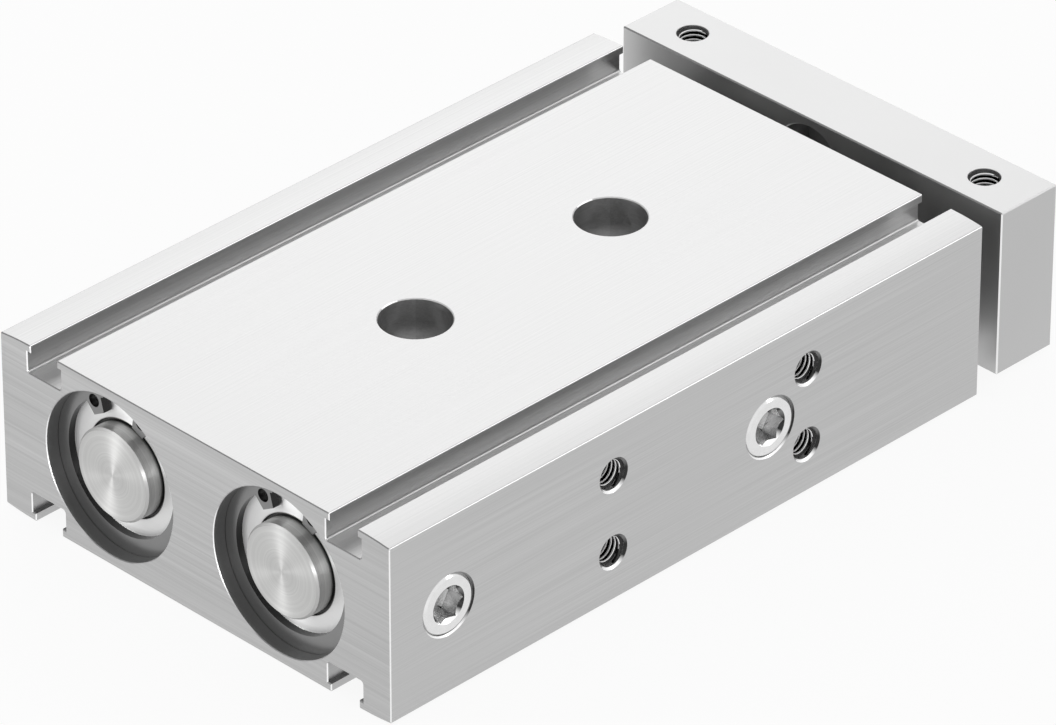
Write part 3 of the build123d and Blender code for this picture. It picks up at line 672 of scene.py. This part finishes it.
def makeCapScrew(source):
    look = capScrew
    low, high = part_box(source)
    count = 2 * look["knurls"]
    head, top, edge = look["headRadius"], look["headHeight"], look["edge"]
    # from the shank's end to the seat at 0 and up to the head's face
    radiusNow, heightNow = look["shankRadius"], -(look["length"] - edge)
    mesh = bmesh.new()
    made = bmesh.ops.create_circle(mesh, segments=count, radius=radiusNow * mm, cap_ends=True)
    bmesh.ops.translate(mesh, verts=made["verts"], vec=(0, 0, heightNow * mm))
    bottom = list(mesh.faces)
    ring = list(mesh.edges)
    steps = [(look["shankRadius"], 0), (head, 0), (head, edge / 2), (head, top - edge)]
    steps += [(head - edge * inwards, top - edge * down) for inwards, down in look["edgeCurve"]]
    steps += [(look["keyWidth"] / 2 / cos(pi / 6) + look["keyLead"], top)]
    knurled = []
    for number, (radius, height) in enumerate(steps):
        verts, ring = extrudeRing(mesh, ring, radius / radiusNow, (height - heightNow) * mm)
        if number in (2, 3):  # the head's wall, below and above
            knurled += verts
        radiusNow, heightNow = radius, height
    for height in (top - look["keyLead"], top - look["keyDepth"]):
        verts, ring = extrudeRing(mesh, ring, 1.0, (height - heightNow) * mm)
        for vert in verts:
            onHexagon(vert, look["keyWidth"] * mm)
        heightNow = height
    closeSocket(mesh, ring, look["floorInset"], look["drillPoint"])
    bmesh.ops.inset_region(mesh, faces=bottom, thickness=edge * mm)
    bmesh.ops.translate(mesh, verts=bottom[0].verts, vec=(0, 0, -edge * mm))
    for vert in knurled:
        turnNow = Vector((1, 0)).angle_signed(Vector((vert.co.x, vert.co.y)), 0.0)
        if round(turnNow * count / (2 * pi)) % 2:
            vert.co.x *= 1 - look["knurlDepth"] / head
            vert.co.y *= 1 - look["knurlDepth"] / head
    seat = Vector(((low.x + high.x) / 2, high.y - top * mm, (low.z + high.z) / 2))
    turnTowards(mesh, (0, 1, 0), seat)
    piece = finishPiece(f"knurled_{source}", mesh, steelFinish["zincPlatedSteel"], "slider",
                        smoothAngle=22)
    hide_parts(source)


for side in sides:
    makeCapScrew(f"yoke_screw_{side}")
print("cap screws done")

# port plugs, lengths in mm: the key's lead is a cone that the six walls cut into crescents
portPlug = {
    "flatRadius": 4.4, "mouthRadius": 3.05, "segments": 144,
    "keyWidth": 5.1, "leadSlope": 1.15, "keyDepth": 3.0, "floorInset": 0.5, "drillPoint": 0.9,
}


def makePortPlug(source):
    # turned about +Z with its face at 0
    look = portPlug
    low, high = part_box(source)
    outer = (high.z - low.z) / 2 / mm
    bevel = outer - look["flatRadius"]
    length = (high.x - low.x) / mm
    mesh = bmesh.new()
    bmesh.ops.create_circle(mesh, segments=look["segments"], radius=look["flatRadius"] * mm, cap_ends=True)
    bmesh.ops.translate(mesh, verts=mesh.verts, vec=(0, 0, -length * mm))
    ring = list(mesh.edges)
    radiusNow, heightNow = look["flatRadius"], -length
    for radius, height in ((outer, bevel - length), (outer, -bevel), (look["flatRadius"], 0), (look["mouthRadius"], 0)):
        verts, ring = extrudeRing(mesh, ring, radius / radiusNow, (height - heightNow) * mm)
        radiusNow, heightNow = radius, height
    before = set(mesh.faces)
    verts, ring = extrudeRing(mesh, ring, 1.0, 0.0)
    for vert in verts:
        onHexagon(vert, look["keyWidth"] * mm)
        vert.co.z = (Vector((vert.co.x, vert.co.y)).length - look["mouthRadius"] * mm) * look["leadSlope"]
    for face in set(mesh.faces) - before:
        face.material_index = 1  # the lead has the painted-light finish
    verts, ring = extrudeRing(mesh, ring, 1.0, 0.0)
    for vert in verts:
        vert.co.z = -look["keyDepth"] * mm
    for edge in ring:
        edge.link_faces[0].material_index = 0
    closeSocket(mesh, ring, look["floorInset"], look["drillPoint"])
    turnTowards(mesh, (1, 0, 0), (high.x, (low.y + high.y) / 2, (low.z + high.z) / 2))
    piece = finishPiece(f"keyed_{source}", mesh, steelFinish["zincPlatedSteel"], "cylinder",
                        smoothAngle=25)
    piece.data.materials.append(leadFinish)
    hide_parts(source)


for place in ("rear", "front"):
    makePortPlug(f"port_plug_{place}")
print("port plugs done")

# sizes and places in metres, power in watts
studio = {
    "floorColour": "#F2F2F2",
    "floorHalf": 6.0,
    "floorWhite": 0.9,  # share of plain white that the camera sees on the floor, the rest takes the shadow
    "skyForShade": 0.7,
    "lamps": {
        "behindLeft": {"at": (-0.72, 0.72, 0.66), "size": 0.6, "power": 1.25},
        "overhead": {"at": (0.05, -0.1, 1.1), "size": 0.8, "power": 0.8},
        "frontRight": {"at": (0.586, 0.658, 0.673), "size": 0.25, "power": 0.6},
        "rearLow": {"at": (-0.15, -0.27, 0.05), "size": 0.03, "power": 0.13},
        "rearStrip": {"at": (0.3, -0.5, 0.03), "size": 0.05, "power": 0.5},
    },
}


def addSeenPlainly(tree):
    # 1 where a ray shows the surface itself: straight to the camera, mirrored or through glass
    ray = addNode(tree, "ShaderNodeLightPath").outputs
    seen = addNode(tree, "ShaderNodeMath", {0: ray["Is Camera Ray"], 1: ray["Is Glossy Ray"]}, operation="ADD")
    return addNode(tree, "ShaderNodeMath", {0: seen.outputs[0], 1: ray["Is Transmission Ray"]}, operation="ADD",
                   use_clamp=True)


def makeFloor():
    mesh = bmesh.new()
    bmesh.ops.create_grid(mesh, x_segments=1, y_segments=1, size=studio["floorHalf"])
    data = bpy.data.meshes.new("floor")
    mesh.to_mesh(data)
    mesh.free()
    floor = bpy.data.objects.new("floor", data)
    bpy.context.scene.collection.objects.link(floor)
    material, tree = newMaterial("paleFloor")
    shade = addNode(tree, "ShaderNodeBsdfDiffuse", {"Color": linear(studio["floorColour"])})
    plain = addNode(tree, "ShaderNodeEmission", {"Color": white, "Strength": 1.0})
    seen = addSeenPlainly(tree)
    share = addNode(tree, "ShaderNodeMath", {0: seen.outputs[0], 1: studio["floorWhite"]}, operation="MULTIPLY")
    mix = addNode(tree, "ShaderNodeMixShader", {0: share.outputs[0], 1: shade.outputs[0], 2: plain.outputs[0]})
    addNode(tree, "ShaderNodeOutputMaterial", {"Surface": mix.outputs[0]})
    data.materials.append(material)


def makeWorld():
    world = bpy.data.worlds.new("studioSky")
    bpy.context.scene.world = world
    world.use_nodes = True
    tree = world.node_tree
    tree.nodes.clear()
    seen = addSeenPlainly(tree)
    strength = addNode(tree, "ShaderNodeMapRange", {"Value": seen.outputs[0], "To Min": studio["skyForShade"],
                       "To Max": 1.0})
    sky = addNode(tree, "ShaderNodeBackground", {"Color": white, "Strength": strength.outputs[0]})
    addNode(tree, "ShaderNodeOutputWorld", {"Surface": sky.outputs[0]})


def makeLamps():
    middle = Vector((0, 0, axisZ))
    for name, lamp in studio["lamps"].items():
        light = bpy.data.lights.new(name, "AREA")
        light.shape = "SQUARE"
        light.size = lamp["size"]
        light.energy = lamp["power"]
        holder = bpy.data.objects.new(name, light)
        holder.location = lamp["at"]
        holder.visible_camera = False
        holder.rotation_euler = (Vector(lamp["at"]) - middle).to_track_quat("Z", "Y").to_euler()
        bpy.context.scene.collection.objects.link(holder)


# angles in degrees, distance and aim in metres, lens and sensor in mm
view = {
    "azimuth": 44.95, "elevation": 32.25, "roll": 0.05, "distance": 1.2404, "aim": (0.00338, 0.00309, 0.01535),
    "lens": 290.2, "sensor": 36.0, "clip": (0.05, 50.0),
}


def makeCamera():
    around, up, roll = radians(view["azimuth"]), radians(view["elevation"]), radians(view["roll"])
    back = Vector((sin(around) * cos(up), -cos(around) * cos(up), sin(up)))
    right = Vector((cos(around), sin(around), 0))
    above = back.cross(right)
    tiltedRight = cos(roll) * right + sin(roll) * above
    tiltedAbove = back.cross(tiltedRight)
    data = bpy.data.cameras.new("productCamera")
    data.lens = view["lens"]
    data.sensor_width = view["sensor"]
    data.clip_start, data.clip_end = view["clip"]
    camera = bpy.data.objects.new("productCamera", data)
    turn = Matrix((tiltedRight, tiltedAbove, back)).transposed().to_4x4()
    camera.matrix_world = Matrix.Translation(Vector(view["aim"]) + back * view["distance"]) @ turn
    bpy.context.scene.collection.objects.link(camera)
    bpy.context.scene.camera = camera


makeFloor()
makeWorld()
makeLamps()
makeCamera()
bpy.context.scene.view_settings.view_transform = "Standard"
print("studio ready")
